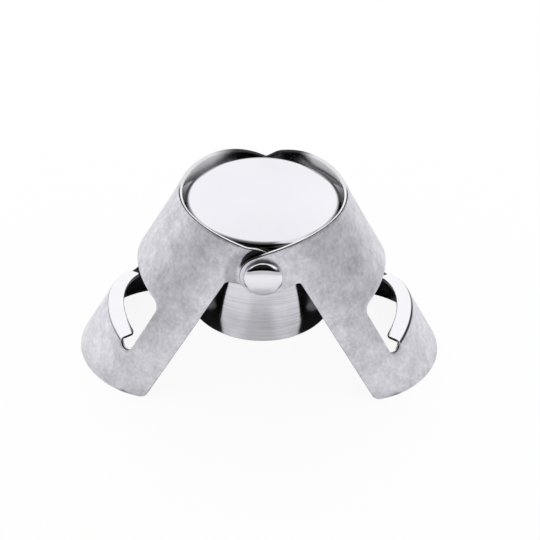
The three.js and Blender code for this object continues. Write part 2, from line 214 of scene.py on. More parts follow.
def stretched(nodes, vector, scale):
    """A pattern's place, stretched along the axes with a small scale."""
    return nodes.term("ShaderNodeMapping", None, {"Vector": vector, "Scale": scale})


def blended(nodes, share, one, two):
    """The first colour turning into the second; each is a plain colour or a node's output."""
    one, two = (colour if isinstance(colour, Term) else (*colour, 1.0) for colour in (one, two))
    return nodes.term("ShaderNodeMix", {"data_type": "RGBA"}, {
        "Factor_Float": share, "A_Color": one, "B_Color": two}, "Result_Color")


def grey(colour, share):
    """The same colour, darker or lighter."""
    return tuple(min(channel * share, 1.0) for channel in colour)


def surface(name, build, metallic=1.0, **fixed):
    """A material from the colour, roughness, relief and relief's depth that `build` gives.
    It may also give the smooth shading under the relief and how metallic each point is."""
    material = bpy.data.materials.new(name)
    material.use_nodes = True
    nodes = Nodes(material.node_tree)
    colour, roughness, height, depth, *more = build(nodes)
    shading = {"Normal": more[0]} if more else {}
    relief = nodes.term("ShaderNodeBump", None, {
        "Height": height, "Distance": depth, "Strength": 1.0, **shading})
    shader = nodes.term("ShaderNodeBsdfPrincipled", None, {
        "Base Color": colour, "Roughness": roughness, "Normal": relief,
        "Metallic": more[1] if more else metallic, **fixed})
    nodes.add("ShaderNodeOutputMaterial", None, {"Surface": shader})
    return material


def rounded(corners, steps=5):
    """A closed profile of (radius, height, rounding) with its corners rounded."""
    line = []
    for i, (x, y, radius) in enumerate(corners):
        here = Vector((x, y))
        if not radius:
            line.append(here)
            continue
        back = (Vector(corners[i - 1][:2]) - here).normalized()
        on = (Vector(corners[(i + 1) % len(corners)][:2]) - here).normalized()
        half = back.angle(on) / 2
        centre = here + (back + on).normalized() * (radius / math.sin(half))
        start = here + back * (radius / math.tan(half)) - centre
        end = here + on * (radius / math.tan(half)) - centre
        turn = math.atan2(start.cross(end), start.dot(end))
        for step in range(steps + 1):
            angle = turn * step / steps
            line.append(centre + Vector((
                start.x * math.cos(angle) - start.y * math.sin(angle),
                start.x * math.sin(angle) + start.y * math.cos(angle))))
    return line


def turned(name, line, steps, place):
    """A closed body turned from a profile; `place` takes radius, height and angle to a point."""
    points, rings, faces = [], [], []
    for radius, height in line:
        count = 1 if radius < 1e-6 else steps
        rings.append([len(points) + i % count for i in range(steps)])
        points += [place(radius, height, math.tau * i / steps) for i in range(count)]
    for one, two in zip(rings, rings[1:] + rings[:1]):
        for i in range(steps):
            j = (i + 1) % steps
            face = list(dict.fromkeys((one[i], one[j], two[j], two[i])))
            if len(face) > 2:
                faces.append(face)
    return body_mesh(name, points, faces)


def body_mesh(name, points, faces, crease=math.radians(40)):
    """A closed mesh in metres with its faces outwards, smooth but for its creases."""
    mesh = bpy.data.meshes.new(name)
    mesh.from_pydata([Vector(point) * MM for point in points], [], faces)
    mesh.validate()
    coordinates = np.array([vertex.co for vertex in mesh.vertices])
    mesh.calc_loop_triangles()
    corners = coordinates[np.array([triangle.vertices for triangle in mesh.loop_triangles])]
    if np.einsum("ij,ij->i", corners[:, 0], np.cross(corners[:, 1], corners[:, 2])).sum() < 0:
        mesh.flip_normals()
    mesh.shade_smooth()
    mesh.set_sharp_from_angle(angle=crease)
    return mesh


def upright(radius, height, angle):
    return (radius * math.cos(angle), radius * math.sin(angle), height)


def on_rivet_axis(radius, height, angle):
    return (radius * math.sin(angle), -height, PIVOT + radius * math.cos(angle))


def show(name, mesh, material=None):
    piece = bpy.data.objects.new(name, mesh)
    bpy.context.collection.objects.link(piece)
    if material:
        mesh.materials.clear()
        mesh.materials.append(material)
    return piece


def settle(piece):
    """Turns what the piece's modifiers make into its own plain mesh."""
    graph = bpy.context.evaluated_depsgraph_get()
    mesh = bpy.data.meshes.new_from_object(piece.evaluated_get(graph))
    piece.modifiers.clear()
    piece.data = mesh


def stand_for(piece, body, slot, *nodes):
    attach(piece, body)
    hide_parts(*nodes)


def turned_steel(nodes):
    """Fine lines round the cup, in uneven bands."""
    place = own_place(nodes)
    lines = noise(nodes, stretched(nodes, place, TURNED_STRETCH), scale=1.0, detail=4.0, roughness=0.7)
    clouds = noise(nodes, place, scale=220.0, detail=4.0, roughness=0.6)
    share = clamped(lines * TURNED_LINES + clouds * TURNED_CLOUDS - TURNED_START, 0.0, 1.0)
    colour = blended(nodes, share, grey(TURNED_COLOUR, TURNED_DARK), grey(TURNED_COLOUR, TURNED_LIGHT))
    return colour, between(TURNED_ROUGHNESS, clouds), lines, TURNED_RELIEF * MM


cup_profile = rounded([
    (0.0, CUP_TOP, 0.0),
    (CUP_RADIUS, CUP_TOP, CUP_CROWN),
    (CUP_RADIUS, PIVOT + BORE_BAND, 0.0),
    (CUP_RADIUS, PIVOT - BORE_BAND, 0.0),
    (CUP_RADIUS, CUP_MOUTH, CUP_LIP),
    (CUP_BORE, CUP_MOUTH, CUP_LIP),
    (CUP_BORE, PIVOT - BORE_BAND, 0.0),
    (CUP_BORE, PIVOT + BORE_BAND, 0.0),
    (CUP_BORE, CUP_TOP - CUP_SHEET, CUP_CROWN - CUP_SHEET),
    (0.0, CUP_TOP - CUP_SHEET, 0.0),
])
cup_steel = surface("turned_steel", turned_steel)
cap_cup = show("cup", turned("cup", cup_profile, steps=144, place=upright), cup_steel)
drill_line = [
    (0.0, -DRILL_REACH), (BORE_RADIUS, -DRILL_REACH), (BORE_RADIUS, DRILL_REACH), (0.0, DRILL_REACH)]
drill = show("drill", turned("drill", drill_line, steps=32, place=on_rivet_axis))
bore = cap_cup.modifiers.new("bore", "BOOLEAN")
bore.operation = "DIFFERENCE"
bore.object = drill
settle(cap_cup)
bpy.data.objects.remove(drill)
stand_for(cap_cup, "root", "turned_steel", "cap_cup")


# Lid
# The lid is a flat polished disc whose edge is rolled down into a short skirt over the cup.
# Its top is mirror bright, with the faintest wiping marks.

LID_RADIUS, LID_TOP, LID_SHEET = 18.0, 42.0, 1.0
LID_SKIRT = 38.0
LID_EDGE, LID_LIP, LID_INNER_ROUND = 1.2, 0.25, 0.3
POLISHED_COLOUR = (0.879, 0.871, 0.918)
POLISHED_DARK, POLISHED_LIGHT = 0.94, 1.07
POLISHED_CLOUDS, POLISHED_BROAD, POLISHED_START = 0.5, 1.2, 0.35
POLISHED_ROUGHNESS, POLISHED_RELIEF = (0.03, 0.07), 0.0003
WIPING_STRETCH = (400.0, 6000.0, 6000.0)
EDGE_PAINTED_REFLECTION, EDGE_PAINTED_REFLECTION_SHARE = (0.04, 0.04, 0.042), 0.93
# Zones of the lid: where each starts and over what width it eases in, in millimetres.
LID_MARGIN = 0.5
EDGE_IN = (LID_RADIUS - LID_EDGE - 0.3, 0.8)
FRONT_RIGHT_IN, FRONT_RIGHT_OUT, FRONT_RIGHT_SHARE = (1.5, 3.0), (8.0, 4.0), 0.85
FAR_SIDE_IN, FAR_SIDE_HALF, FAR_SIDE_RIM = (3.0, 4.0), (4.0, 3.0), (LID_RADIUS - 0.6, 0.3)


def polished_steel(nodes):
    """Mirror bright, but for the lid's rolled edge, which is painted dark, a painted reflection of the dark
    gap round it, except at its front right and far side.
    """
    place = own_place(nodes)
    x, y, z = parts(nodes, place)
    clouds = noise(nodes, place, scale=90.0, detail=3.0)
    broad = noise(nodes, place, scale=28.0, detail=1.0)
    hairs = noise(nodes, stretched(nodes, place, WIPING_STRETCH), scale=1.0, roughness=0.6)
    tone = clouds * POLISHED_CLOUDS + broad * POLISHED_BROAD - POLISHED_START
    colour = blended(nodes, tone, grey(POLISHED_COLOUR, POLISHED_DARK), grey(POLISHED_COLOUR, POLISHED_LIGHT))
    radius = root(x * x + y * y)
    on_lid = (radius < (LID_RADIUS + LID_MARGIN) * MM) * (z > (LID_SKIRT - LID_MARGIN) * MM)
    front_right = rising(x, *FRONT_RIGHT_IN) * (1.0 - rising(x, *FRONT_RIGHT_OUT)) * (y < 0.0)
    far_side = rising(y, *FAR_SIDE_IN) * (1.0 - rising(absolute(x), *FAR_SIDE_HALF))
    far_side = far_side * rising(radius, *FAR_SIDE_RIM)
    # Painted reflection: the rolled edge is painted near black, except at its front right and far side.
    rolled = rising(radius, *EDGE_IN) * on_lid
    rolled = rolled * (1.0 - front_right * FRONT_RIGHT_SHARE) * (1.0 - far_side)
    colour = blended(nodes, rolled * EDGE_PAINTED_REFLECTION_SHARE, colour, EDGE_PAINTED_REFLECTION)
    return colour, between(POLISHED_ROUGHNESS, clouds), hairs, POLISHED_RELIEF * MM


lid_profile = rounded([
    (0.0, LID_TOP - LID_SHEET, 0.0),
    (LID_RADIUS - LID_SHEET, LID_TOP - LID_SHEET, LID_INNER_ROUND),
    (LID_RADIUS - LID_SHEET, LID_SKIRT, LID_LIP),
    (LID_RADIUS, LID_SKIRT, LID_LIP),
    (LID_RADIUS, LID_TOP, LID_EDGE),
    (0.0, LID_TOP, 0.0),
], steps=8)
polished = surface("polished_steel", polished_steel)
lid = show("lid_disc", turned("lid_disc", lid_profile, steps=160, place=upright), polished)
stand_for(lid, "root", "polished_steel", "lid")


# Sealing unit
# A moulded carrier holds the spring, and its flange rests on the rivets' inner ends.
# A soft milky gasket with two sealing rings hangs under it, held by a button that snaps in.

FLANGE_RADIUS, FLANGE_BOTTOM, FLANGE_TOP = 15.3, 37.4, 38.2
CARRIER_RADIUS, CARRIER_BORE = 11.05, 9.35
CARRIER_BOTTOM, CARRIER_FLOOR = 18.6, 20.6
BACKING_RADIUS, BACKING_TOP = 14.6, 20.0
STEM_RADIUS, STEM_HOLE = 2.0, 2.1
GASKET_RADIUS, GASKET_TOP, GASKET_FACE = 15.1, 18.3, 15.4
GASKET_RINGS = (10.45, 13.05)
RING_HEIGHT, RING_WIDTH = 0.5, 1.1
WELL_RADIUS, WELL_TOP = 4.9, 16.2
BUTTON_RADIUS, BUTTON_SEAT, BUTTON_BOTTOM = 4.6, 15.9, 14.7
BARB_RADIUS, BARB_BOTTOM, BARB_EDGE, BARB_TOP = 2.6, 20.9, 21.05, 21.8
CARRIER_EDGE, CARRIER_ROUND, CARRIER_NECK, CARRIER_WELL = 0.2, 0.3, 0.4, 0.5
HOLE_EDGE, WELL_EDGE, GASKET_ROUND, GASKET_EDGE = 0.1, 0.2, 0.3, 0.4
RING_FOOT, RING_CREST = 0.12, 0.2
PLASTIC_COLOUR, PLASTIC_DARK, PLASTIC_LIGHT = (0.84, 0.84, 0.82), 0.95, 1.03
PLASTIC_ROUGHNESS, PLASTIC_RELIEF = (0.36, 0.48), 0.006
SILICONE_COLOUR, SILICONE_DARK, SILICONE_LIGHT = (0.83, 0.83, 0.8), 0.94, 1.03
SILICONE_ROUGHNESS, SILICONE_RELIEF, SILICONE_GLOW = (0.5, 0.65), 0.01, 0.15


def moulded_plastic(nodes):
    """Matt, with a faint moulded grain."""
    place = own_place(nodes)
    clouds = noise(nodes, place, scale=150.0, detail=3.0)
    grain = noise(nodes, place, scale=4000.0, roughness=0.6)
    colour = blended(nodes, clouds, grey(PLASTIC_COLOUR, PLASTIC_DARK), grey(PLASTIC_COLOUR, PLASTIC_LIGHT))
    return colour, between(PLASTIC_ROUGHNESS, clouds), grain, PLASTIC_RELIEF * MM


def milky_silicone(nodes):
    """Soft and milky, with a dusty bloom."""
    place = own_place(nodes)
    clouds = noise(nodes, place, scale=180.0, detail=3.0)
    bloom = noise(nodes, place, scale=1500.0, detail=3.0, roughness=0.6)
    dark, light = grey(SILICONE_COLOUR, SILICONE_DARK), grey(SILICONE_COLOUR, SILICONE_LIGHT)
    colour = blended(nodes, clouds, dark, light)
    return colour, between(SILICONE_ROUGHNESS, bloom), bloom, SILICONE_RELIEF * MM


carrier_profile = rounded([
    (STEM_HOLE, CARRIER_BOTTOM, 0.0),
    (BACKING_RADIUS, CARRIER_BOTTOM, CARRIER_EDGE),
    (BACKING_RADIUS, BACKING_TOP, CARRIER_ROUND),
    (CARRIER_RADIUS, BACKING_TOP, CARRIER_NECK),
    (CARRIER_RADIUS, FLANGE_BOTTOM, CARRIER_ROUND),
    (FLANGE_RADIUS, FLANGE_BOTTOM, CARRIER_EDGE),
    (FLANGE_RADIUS, FLANGE_TOP, CARRIER_ROUND),
    (CARRIER_BORE, FLANGE_TOP, CARRIER_ROUND),
    (CARRIER_BORE, CARRIER_FLOOR, CARRIER_WELL),
    (STEM_HOLE, CARRIER_FLOOR, CARRIER_EDGE),
])
plastic = surface("moulded_plastic", moulded_plastic, metallic=0.0)
carrier = show("carrier", turned("carrier", carrier_profile, steps=96, place=upright), plastic)
stand_for(carrier, "seal", "white_plastic", "seal_carrier")

ring_corners = [corner for middle in GASKET_RINGS for corner in (
    (middle - RING_WIDTH / 2, GASKET_FACE, RING_FOOT),
    (middle - RING_WIDTH / 4, GASKET_FACE - RING_HEIGHT, RING_CREST),
    (middle + RING_WIDTH / 4, GASKET_FACE - RING_HEIGHT, RING_CREST),
    (middle + RING_WIDTH / 2, GASKET_FACE, RING_FOOT))]
gasket_profile = rounded([
    (STEM_HOLE, GASKET_TOP, HOLE_EDGE),
    (STEM_HOLE, WELL_TOP, HOLE_EDGE),
    (WELL_RADIUS, WELL_TOP, WELL_EDGE),
    (WELL_RADIUS, GASKET_FACE, GASKET_ROUND),
    *ring_corners,
    (GASKET_RADIUS, GASKET_FACE, GASKET_EDGE),
    (GASKET_RADIUS, GASKET_TOP, GASKET_ROUND),
])
silicone = surface("milky_silicone", milky_silicone, metallic=0.0, **{
    "Subsurface Weight": SILICONE_GLOW, "Subsurface Scale": MM})
gasket = show("sealing_disc", turned("sealing_disc", gasket_profile, steps=128, place=upright), silicone)
stand_for(gasket, "seal", "silicone", "gasket")

dome = [(BUTTON_RADIUS * math.sin(angle), BUTTON_SEAT - (BUTTON_SEAT - BUTTON_BOTTOM) * math.cos(angle))
        for angle in np.linspace(0.0, math.pi / 2, 10)]
button_profile = dome + [
    (STEM_RADIUS, BUTTON_SEAT), (STEM_RADIUS, BARB_BOTTOM), (BARB_RADIUS, BARB_BOTTOM),
    (BARB_RADIUS, BARB_EDGE), (STEM_RADIUS, BARB_TOP), (0.0, BARB_TOP)]
button = show("snap_button", turned("snap_button", button_profile, steps=64, place=upright), plastic)
stand_for(button, "seal", "white_plastic", "gasket_button")


# Spring
# A compression spring of drawn steel wire stands on the carrier's floor under the cup's ceiling.
# Its end turns lie closer than the rest.

SPRING_SIZES = {
    "Radius": 7.95, "Wire": 1.2, "Turns": 5.5, "End turns": 1.0, "End gap": 0.5, "Bottom": 21.5, "Top": 39.0}
SPRING_POINTS, WIRE_SIDES = 331, 16
SPRING_COLOUR, SPRING_DARK, SPRING_LIGHT = (0.5, 0.505, 0.52), 0.85, 1.15
SPRING_ROUGHNESS, SPRING_RELIEF = (0.24, 0.36), 0.003
WIRE_STRETCH = (300.0, 300.0, 8000.0)


def named_tree(name, sizes):
    """A Geometry Nodes tree with a geometry input and one named input for each size."""
    tree = bpy.data.node_groups.new(name, "GeometryNodeTree")
    tree.interface.new_socket("Geometry", in_out="INPUT", socket_type="NodeSocketGeometry")
    tree.interface.new_socket("Geometry", in_out="OUTPUT", socket_type="NodeSocketGeometry")
    for size in sizes:
        tree.interface.new_socket(size, in_out="INPUT", socket_type="NodeSocketFloat")
    nodes = Nodes(tree)
    start = nodes.add("NodeGroupInput")
    return nodes, {socket.name: Term(nodes, socket) for socket in start.outputs if socket.name}


def finish_tree(nodes, shape, material):
    whole = nodes.term("GeometryNodeRealizeInstances", None, {"Geometry": shape})
    dressed = nodes.term("GeometryNodeSetMaterial", None, {"Geometry": whole, "Material": material})
    nodes.add("NodeGroupOutput", None, {0: dressed})


def grown(name, mesh, nodes, sizes):
    """The plain mesh that a tree makes of `mesh` at the sizes given."""
    piece = show(name, mesh)
    modifier = piece.modifiers.new(name, "NODES")
    modifier.node_group = nodes.tree
    for socket in nodes.tree.interface.items_tree:
        if socket.in_out == "INPUT" and socket.name in sizes:
            modifier[socket.identifier] = float(sizes[socket.name])
    settle(piece)
    return piece


def drawn_wire(nodes):
    """Grey, with the scratches of the drawing die."""
    place = own_place(nodes)
    clouds = noise(nodes, place, scale=300.0, detail=3.0, roughness=0.6)
    scratches = noise(nodes, stretched(nodes, place, WIRE_STRETCH), scale=1.0, roughness=0.6)
    colour = blended(nodes, clouds, grey(SPRING_COLOUR, SPRING_DARK), grey(SPRING_COLOUR, SPRING_LIGHT))
    return colour, between(SPRING_ROUGHNESS, clouds), scratches, SPRING_RELIEF * MM


coil, size = named_tree("wound_spring", SPRING_SIZES)
line = coil.term("GeometryNodeMeshLine", None, {"Count": SPRING_POINTS})
turn = coil.term("GeometryNodeInputIndex") / (SPRING_POINTS - 1.0) * size["Turns"]
close_pitch = size["Wire"] + size["End gap"]
free_turns = size["Turns"] - size["End turns"] * 2.0
free_pitch = (size["Top"] - size["Bottom"] - close_pitch * size["End turns"] * 2.0) / free_turns
free_turn = clamped(turn - size["End turns"], 0.0, free_turns)
rise = (turn - free_turn) * close_pitch + free_turn * free_pitch
spot = coil.term("ShaderNodeCombineXYZ", None, {
    "X": size["Radius"] * cosine(turn * math.tau) * MM,
    "Y": size["Radius"] * sine(turn * math.tau) * MM,
    "Z": (size["Bottom"] + rise) * MM})
helix = coil.term("GeometryNodeSetPosition", None, {"Geometry": line, "Position": spot})
path = coil.term("GeometryNodeMeshToCurve", None, {"Mesh": helix})
wire = coil.term("GeometryNodeCurvePrimitiveCircle", None, {
    "Resolution": WIRE_SIDES, "Radius": size["Wire"] * (MM / 2)})
tube = coil.term("GeometryNodeCurveToMesh", None, {"Curve": path, "Profile Curve": wire, "Fill Caps": True})
smooth = coil.term("GeometryNodeSetShadeSmooth", None, {"Geometry": tube})
finish_tree(coil, smooth, surface("drawn_wire", drawn_wire))
spring = grown("coil_spring", bpy.data.meshes.new("coil_spring"), coil, SPRING_SIZES)
stand_for(spring, "root", "spring_steel", "spring")
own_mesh(spring)


# Spacers and rivets
# A plastic ring on each side keeps the inner ear off the round cup.
# Each rivet has a low polished dome outside, passes ears, ring and cup, and is clenched inside.

SPACER_BORE, SPACER_RADIUS, SPACER_INNER, SPACER_OUTER = 1.6, 2.6, 17.0, 17.95
SPACER_BORE_EDGE, SPACER_EDGE = 0.1, 0.2
HEAD_BASE, HEAD_RIM, HEAD_TOP, HEAD_RADIUS = 20.7, 21.15, 22.6, 4.3
SHANK_RADIUS = 1.5
TAIL_RADIUS, TAIL_OUTER, TAIL_INNER = 2.0, 15.6, 14.7
TAIL_ROUND, TAIL_BEVEL = 0.25, 0.07
HEAD_ROUND, HEAD_BEVEL_IN, HEAD_BEVEL_OUT = 0.15, 0.04, 0.05
BOTH_SIDES = {"Copies": 2.0}


def copied_round(name, material):
    """A tree that repeats a piece at equal turns about the cap's axis."""
    nodes, size = named_tree(name, BOTH_SIDES)
    points = nodes.term("GeometryNodeMeshLine", None, {"Count": size["Copies"], "Offset": (0.0, 0.0, 0.0)})
    turn = nodes.term("GeometryNodeInputIndex") * math.tau / size["Copies"]
    facing = nodes.term("ShaderNodeCombineXYZ", None, {"Z": turn})
    copies = nodes.term("GeometryNodeInstanceOnPoints", None, {
        "Points": points, "Instance": size["Geometry"], "Rotation": facing})
    finish_tree(nodes, copies, material)
    return nodes


spacer_profile = rounded([
    (SPACER_BORE, SPACER_INNER, SPACER_BORE_EDGE), (SPACER_RADIUS, SPACER_INNER, SPACER_EDGE),
    (SPACER_RADIUS, SPACER_OUTER, SPACER_EDGE), (SPACER_BORE, SPACER_OUTER, SPACER_BORE_EDGE)])
spacers = grown("spacer_rings", turned("spacer_rings", spacer_profile, steps=48, place=on_rivet_axis),
                copied_round("spacers_both_sides", plastic), BOTH_SIDES)
stand_for(spacers, "root", "white_plastic", "front_spacer", "back_spacer")

head_dome = [(HEAD_RADIUS * math.sin(angle), HEAD_RIM + (HEAD_TOP - HEAD_RIM) * math.cos(angle))
             for angle in np.linspace(math.pi / 2, 0.0, 24)]
rivet_profile = [
    (0.0, TAIL_INNER), (TAIL_RADIUS - TAIL_ROUND, TAIL_INNER),
    (TAIL_RADIUS - TAIL_BEVEL, TAIL_INNER + TAIL_BEVEL), (TAIL_RADIUS, TAIL_INNER + TAIL_ROUND),
    (TAIL_RADIUS, TAIL_OUTER), (SHANK_RADIUS, TAIL_OUTER), (SHANK_RADIUS, HEAD_BASE),
    (HEAD_RADIUS - HEAD_ROUND, HEAD_BASE), (HEAD_RADIUS - HEAD_BEVEL_IN, HEAD_BASE + HEAD_BEVEL_OUT),
    (HEAD_RADIUS, HEAD_BASE + HEAD_ROUND), *head_dome]
rivets = grown("rivets", turned("rivets", rivet_profile, steps=72, place=on_rivet_axis),
               copied_round("rivets_both_sides", polished), BOTH_SIDES)
stand_for(rivets, "root", "polished_steel", "front_rivet", "back_rivet")


# Wings
# Each wing is cut flat from satin sheet, then formed: bent to a half shell, set back round one
# rivet so that the other wing's ear can lie over it, and its tongue folded in under the window.
# The flat blank is drawn here in millimetres along the girth and above the rivets' axis.

SHEET = 0.9
EAR_FLAT, EAR_RADIUS = 3.2, 5.2
HALF_WIDTH, REACH = 20.4, 21.1
SHOULDER_TURN = math.pi / 4
STEP = (HALF_WIDTH - REACH + EAR_FLAT) / (math.sqrt(2.0) - 1.0)
SHOULDER = HALF_WIDTH - STEP * math.sqrt(0.5)
BOW = SHOULDER + STEP
SHOULDER_LENGTH = SHOULDER * SHOULDER_TURN
HALF_GIRTH = EAR_FLAT + SHOULDER_LENGTH + BOW * (math.pi / 2 - SHOULDER_TURN)
GIRTH = HALF_GIRTH * 2
RIM_TRIM = 2.0
FLARE_START, FLARE = 6.0, math.tan(math.radians(1.47))
OPENING = math.radians(27.2)
CREST_DROP = 0.7
RECESS_RADIUS, RECESS_RAMP = 5.9, 2.6
LEG_AT_EAR, LEG_AT_RIM, CROOK, LEG_CORNER = 6.5, 7.5, 0.7, 1.4
WINDOW_SIDE, WINDOW_TOP, WINDOW_CORNER = 16.1, -21.3, 2.2
RELIEF_WIDTH, RELIEF_BOTTOM = 3.7, -36.9
FOLD, FOLD_RADIUS, TONGUE, TONGUE_CORNER = -36.5, 1.3, 4.1, 0.9
WING_SIZES = {
    "Opening": OPENING, "Half turn": 0.0, "Pivot": PIVOT, "Recess": 1.25, "Fold": math.radians(63.0)}
FACET, ROW_SHARE, FACET_ROOM = 0.7, 0.87, 0.6
RING_SPACING, RING_REACH, RING_ROOM = 0.3, math.pi * 0.62, 0.12
RING_BEFORE, RING_AFTER = 0.3, 0.4
FOLD_SPACING, FOLD_ROWS, FOLD_ROOM = 0.5, (-0.4, 2.0, 0.2), 0.15
EDGE_ROUNDING, EDGE_STEPS = 0.14, 3
CREASE = math.radians(50)
SATIN_COLOUR, SATIN_DARK, SATIN_LIGHT = (0.72, 0.712, 0.766), 0.68, 1.26
# Painted light: the tongue and the inside by the back crests are painted brighter, a painted reflection of
# the tent.
PAINTED_LIGHT_COLOUR, PAINTED_LIGHT_DARK = (0.937, 0.929, 0.975), 0.97
# Painted shade: the inside is painted near black low down, by the ears and by the lid.
PAINTED_SHADE_COLOUR, PAINTED_SHADE_DARK, PAINTED_SHADE_LIGHT = (0.11, 0.11, 0.114), 0.7, 1.3
# Cut edges: a painted highlight with painted dark lines beside it.
CUT_PAINTED_HIGHLIGHT, CUT_SHADE = (0.96, 0.955, 0.98), (0.04, 0.04, 0.042)
STREAK_STRETCH = (2600.0, 160.0, 1.0)
SATIN_CLOUDS, SATIN_FLECKS, SATIN_STREAKS, SATIN_START = 2.2, 1.6, 0.4, 1.6
SATIN_SHARE, SATIN_BROAD, SATIN_BROAD_START = 0.75, 0.5, 0.12
SATIN_ROUGHNESS, STEP_ROUGHNESS = (0.27, 0.43), 0.3
POLISH_ROUGHNESS, INNER_ROUGHNESS, CREST_ROUGHNESS = (0.06, 0.11), 0.22, 0.45
POLISH_UNDER_PAINTED_SHADE, LID_PAINTED_SHADE_SHARE, CREST_CUT_HIGHLIGHT = 0.6, 0.8, 0.8
SATIN_RELIEF, FLECK_RELIEF, POLISHED_FLATNESS = 0.012, 0.7, 0.9
CREST_METALLIC, CREST_TURNED_UP = 0.95, 0.75
# Shares of the sheet's depth: the inner side, and the outer and inner skins beside a cut edge.
INNER_SIDE, CUT_SIDE, SKIN = (0.55, 0.25), 0.3, 0.02
CUT_SHARPNESS = 9.0
# Zones of the sheet: where each starts and over what width it eases in, in millimetres.
BACK_HALF, RIGHT_START = (-1.0, 4.0), 0.5
# Painted light: the legs are painted lighter towards their feet, a painted reflection of the bright table.
LEG_PAINTED_LIGHT, LEG_PAINTED_LIGHT_SHARE = (-28.0, 12.0), 0.17
TONGUE_START, FOLD_LINE, FOLD_LINE_RIGHT = 0.3, 0.15, 0.4
FOLD_LINE_IN, FOLD_LINE_OUT, FOLD_LINE_SHARES = 0.2, 0.25, (0.6, 0.95)
INNER_SHADE, INNER_SHADE_LOW, INNER_SHADE_SHARE = (-5.0, 5.0), (-20.0, 8.0), 0.35
# The painted shade by an ear and the painted light beyond it: how each zone changes at the right and at the
# back.
EAR_SHADE, EAR_SHADE_WIDTH, EAR_SHADE_RIGHT = 6.0, 3.0, 4.0
EAR_SHADE_BACK, EAR_SHADE_RIGHT_BACK = 6.0, 3.0
CREST_LIGHT, CREST_LIGHT_WIDTH, CREST_LIGHT_RIGHT, CREST_LIGHT_LOW = 9.0, 8.0, 3.0, -5.0
LID_SHADE, LID_SHADE_BACK, LID_SHADE_RIGHT, LID_SHADE_WIDTH, LID_SHADE_LOW = 42.1, 3.2, 1.7, 0.6, 40.0
STEP_FOOT = 5.7
STEP_IN, STEP_OUT = (-0.2, 1.0), (2.2, 1.5)
LEVEL_IN, LEVEL_OUT, LEVEL_UP, LEVEL_SHARE = (-0.1, 0.3), (3.0, 0.8), (-6.0, 3.0), 0.8
CRESCENT_ALONG, CRESCENT_UP = (0.4, 1.0), (-1.6, 1.6)
CRESCENT_GROWTH, CRESCENT_HEIGHT, CRESCENT_EDGE = 1.5, 5.5, 0.2


def section(along, side):
    """The shell seen from above: place and outward direction at a distance along the girth."""
    near = lowest(along, GIRTH - along)
    shoulder = clamped((near - EAR_FLAT) / SHOULDER, 0.0, SHOULDER_TURN)
    bow = clamped((near - EAR_FLAT - SHOULDER_LENGTH) / BOW, 0.0, math.pi / 2 - SHOULDER_TURN)
    turn = shoulder + bow
    out = lowest(near, EAR_FLAT) + sine(shoulder) * SHOULDER + (sine(turn) - sine(shoulder)) * BOW
    across = HALF_WIDTH - (1.0 - cosine(shoulder)) * SHOULDER - (cosine(shoulder) - cosine(turn)) * BOW
    return out, side * across, sine(turn), side * cosine(turn)


def rim(along):
    """Height of the lower edge, cut so that it stands on the table when the wing is open."""
    out, _, normal_out, _ = section(along, 1.0)
    lean = normal_out * FLARE
    level = (lean * FLARE_START - out) * math.sin(OPENING) - PIVOT
    return level / (math.cos(OPENING) - lean * math.sin(OPENING))


def crest(along):
    share = (1 + math.cos(math.tau * along / GIRTH)) / 2
    return EAR_RADIUS * share - CREST_DROP * (1 - share)


def straight(start, end):
    count = max(1, math.ceil(math.dist(start, end) / FACET))
    return [(start[0] + (end[0] - start[0]) * i / count, start[1] + (end[1] - start[1]) * i / count)
            for i in range(count)]


def bend(centre, radius, start, end):
    count = max(8, math.ceil(abs(end - start) * radius / FACET))
    angles = [start + (end - start) * i / count for i in range(count)]
    return [(centre[0] + radius * math.cos(a), centre[1] + radius * math.sin(a)) for a in angles]


def ruled(rule, start, end):
    count = math.ceil(abs(end - start) / FACET)
    return [(x, rule(x)) for x in (start + (end - start) * i / count for i in range(count))]


def mirrored(points):
    return [(GIRTH - x, y) for x, y in reversed(points)]


crook = (LEG_AT_EAR - CROOK, -EAR_RADIUS - CROOK)
leg_top = (LEG_AT_EAR, crook[1])
foot = (LEG_AT_RIM, rim(LEG_AT_RIM))
share = LEG_CORNER / math.dist(foot, leg_top)
leg_end = (foot[0] + (leg_top[0] - foot[0]) * share, foot[1] + (leg_top[1] - foot[1]) * share)
rim_start = (foot[0] + LEG_CORNER, rim(foot[0] + LEG_CORNER))
foot_curve = [tuple((1 - t) ** 2 * a + 2 * t * (1 - t) * b + t * t * c
                    for a, b, c in zip(leg_end, foot, rim_start)) for t in np.linspace(0.0, 1.0, 9)]
leg = (bend((0.0, 0.0), EAR_RADIUS, math.pi / 2, math.pi * 1.5)
       + straight((0.0, -EAR_RADIUS), (crook[0], -EAR_RADIUS))
       + bend(crook, CROOK, math.pi / 2, 0.0)
       + straight(leg_top, leg_end)
       + foot_curve)
outline = (leg + ruled(rim, rim_start[0], GIRTH - rim_start[0])[1:]
           + mirrored(leg) + ruled(crest, GIRTH, 0.0)[1:])

